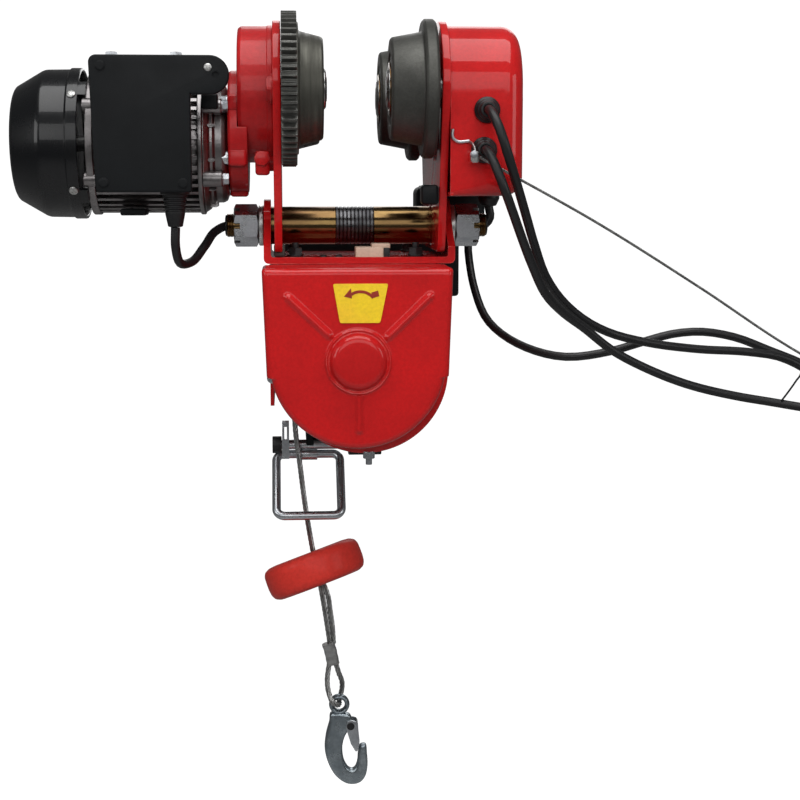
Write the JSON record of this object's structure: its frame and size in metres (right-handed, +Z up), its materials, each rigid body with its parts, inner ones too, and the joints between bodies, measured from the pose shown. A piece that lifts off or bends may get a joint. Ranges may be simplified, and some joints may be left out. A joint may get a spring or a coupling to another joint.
{
  "type": "electric wire rope hoist with beam trolley",
  "caption": "Small electric wire-rope hoist under a motorised four-wheel beam trolley, with limit lever, hook, control cable and hanging push-button handset.",
  "frame": {"origin": "middle of the running surface on top of the beam's lower flange, between the four wheels", "axes": "+Z up, Y along the beam with the gear cover facing -Y, +X towards the control box and the handset"},
  "size_m": [0.72, 0.3487, 0.6257],
  "materials": {
    "red_enamel": "gloss enamel",
    "cast_iron": "cast, machined rims",
    "steel": "machined",
    "zinc": "bright zinc plate",
    "yellow_zinc": "yellow passivated steel",
    "aluminium": "as cast",
    "black_plastic": "moulded",
    "rubber": "satin cable sheath",
    "stop_red": "moulded"
  },
  "bodies": {
    "frame": {"left_side_plate": "red_enamel", "right_side_plate": "red_enamel", "cross_shaft": "yellow_zinc", "left_castle_nut": "zinc", "right_castle_nut": "zinc", "axle_left_front": "steel", "axle_left_rear": "steel", "axle_right_front": "steel", "axle_right_rear": "steel", "gearbox_housing": "red_enamel", "gearbox_flange": "red_enamel", "motor_stator": "aluminium", "motor_end_bell": "aluminium", "fan_cover": "black_plastic", "terminal_box": "black_plastic", "terminal_box_lid": "black_plastic", "motor_cable_gland": "black_plastic", "motor_cable": "rubber", "control_box": "red_enamel", "upper_grommet": "rubber", "lower_grommet": "rubber", "strain_hook": "zinc", "wire_clamp": "zinc", "hanger_bracket": "red_enamel", "hoist_frame": "red_enamel", "gear_pan": "red_enamel", "front_cover": "red_enamel", "motor_flange": "red_enamel", "hoist_motor_body": "aluminium", "hoist_fan_cover": "black_plastic", "hoist_terminal_box": "black_plastic", "limit_switch_box": "black_plastic", "limit_pivot": "zinc", "hoist_lead": "rubber", "pendant_cable": "rubber", "pendant_coil": "rubber", "messenger_wire": "zinc", "wire_hook": "zinc", "handset": "black_plastic"},
    "front_left_wheel": {"wheel_left_front": "cast_iron"},
    "rear_left_wheel": {"wheel_left_rear": "cast_iron"},
    "front_right_wheel": {"wheel_right_front": "cast_iron"},
    "rear_right_wheel": {"wheel_right_rear": "cast_iron"},
    "drive_spindle": {"drive_pinion": "steel", "drive_gear": "steel"},
    "trolley_rotor": {"motor_rotor": "steel", "cooling_fan": "black_plastic"},
    "drum": {"rope_drum": "steel", "drum_gear": "steel"},
    "idler": {"idler_gear": "steel"},
    "hoist_motor_rotor": {"hoist_rotor": "steel"},
    "rope_fall": {"hoist_rope": "zinc", "rope_ferrule": "aluminium"},
    "weight": {"stop_weight": "red_enamel"},
    "limit_bail": {"limit_lever": "zinc"},
    "load_hook": {"hook": "zinc"},
    "latch": {"hook_latch": "zinc"},
    "lift_switch": {"lift_rocker": "black_plastic"},
    "travel_switch": {"travel_rocker": "black_plastic"},
    "stop_switch": {"stop_button": "stop_red"}
  },
  "joints": [
    {"name": "front_left_wheel_spin", "type": "hinge", "parent": "frame", "child": "front_left_wheel", "pos_m": [0, -0.07, 0.0395], "axis": [1, 0, 0], "continuous": true},
    {"name": "rear_left_wheel_spin", "type": "hinge", "parent": "frame", "child": "rear_left_wheel", "pos_m": [0, 0.07, 0.0395], "axis": [1, 0, 0], "continuous": true},
    {"name": "front_right_wheel_spin", "type": "hinge", "parent": "frame", "child": "front_right_wheel", "pos_m": [0, -0.07, 0.0395], "axis": [1, 0, 0], "continuous": true},
    {"name": "rear_right_wheel_spin", "type": "hinge", "parent": "frame", "child": "rear_right_wheel", "pos_m": [0, 0.07, 0.0395], "axis": [1, 0, 0], "continuous": true},
    {"name": "drive_spindle_spin", "type": "hinge", "parent": "frame", "child": "drive_spindle", "pos_m": [0, 0, 0.0395], "axis": [1, 0, 0], "continuous": true},
    {"name": "trolley_rotor_spin", "type": "hinge", "parent": "frame", "child": "trolley_rotor", "pos_m": [0, 0, 0.00013], "axis": [1, 0, 0], "continuous": true},
    {"name": "drum_turn", "type": "hinge", "parent": "frame", "child": "drum", "pos_m": [-0.004, 0, -0.1616], "axis": [0, -1, 0], "range_deg": [-18.5, 61.5]},
    {"name": "idler_turn", "type": "hinge", "parent": "frame", "child": "idler", "pos_m": [-0.004, 0, -0.1266], "axis": [0, -1, 0], "range_deg": [-144, 44]},
    {"name": "hoist_rotor_turn", "type": "hinge", "parent": "frame", "child": "hoist_motor_rotor", "pos_m": [-0.004, 0, -0.1616], "axis": [0, -1, 0], "range_deg": [-159, 527]},
    {"name": "rope_pay_out", "type": "slide", "parent": "frame", "child": "rope_fall", "axis": [0, 0, -1], "range_m": [-0.016, 0.051]},
    {"name": "weight_slide", "type": "slide", "parent": "rope_fall", "child": "weight", "axis": [-0.1569, 0, 0.9876], "range_m": [0, 0.015]},
    {"name": "limit_bail_lift", "type": "hinge", "parent": "frame", "child": "limit_bail", "pos_m": [0, 0.006, -0.243], "axis": [-1, 0, 0], "range_deg": [0, 25], "stiffness_Nm_per_rad": 0.05, "springref_deg": -40.11},
    {"name": "hook_swing", "type": "hinge", "parent": "rope_fall", "child": "load_hook", "pos_m": [-0.0165, -0.008, -0.4587], "axis": [0, 1, 0], "range_deg": [-35, 35]},
    {"name": "latch_open", "type": "hinge", "parent": "load_hook", "child": "latch", "pos_m": [-0.0073, -0.008, -0.4778], "axis": [0, 1, 0], "range_deg": [0, 22], "stiffness_Nm_per_rad": 0.02, "springref_deg": -28.65},
    {"name": "lift_rock", "type": "hinge", "parent": "frame", "child": "lift_switch", "pos_m": [0.432, -0.0715, -0.41], "axis": [1, 0, 0], "range_deg": [-6, 6], "stiffness_Nm_per_rad": 0.5},
    {"name": "travel_rock", "type": "hinge", "parent": "frame", "child": "travel_switch", "pos_m": [0.432, -0.0715, -0.456], "axis": [1, 0, 0], "range_deg": [-6, 6], "stiffness_Nm_per_rad": 0.5},
    {"name": "stop_press", "type": "slide", "parent": "frame", "child": "stop_switch", "axis": [0, 1, 0], "range_m": [0, 0.004], "stiffness_N_per_m": 400, "springref_m": -0.004}
  ],
  "couplings": [
    {"joint": "rear_left_wheel_spin", "follows": "front_left_wheel_spin", "ratio": 1},
    {"joint": "drive_spindle_spin", "follows": "front_left_wheel_spin", "ratio": -3.6667},
    {"joint": "trolley_rotor_spin", "follows": "front_left_wheel_spin", "ratio": 12.571},
    {"joint": "idler_turn", "follows": "drum_turn", "ratio": -2.3333},
    {"joint": "hoist_rotor_turn", "follows": "drum_turn", "ratio": 8.5556},
    {"joint": "rope_pay_out", "follows": "drum_turn", "m_per_rad": 0.0465}
  ]
}
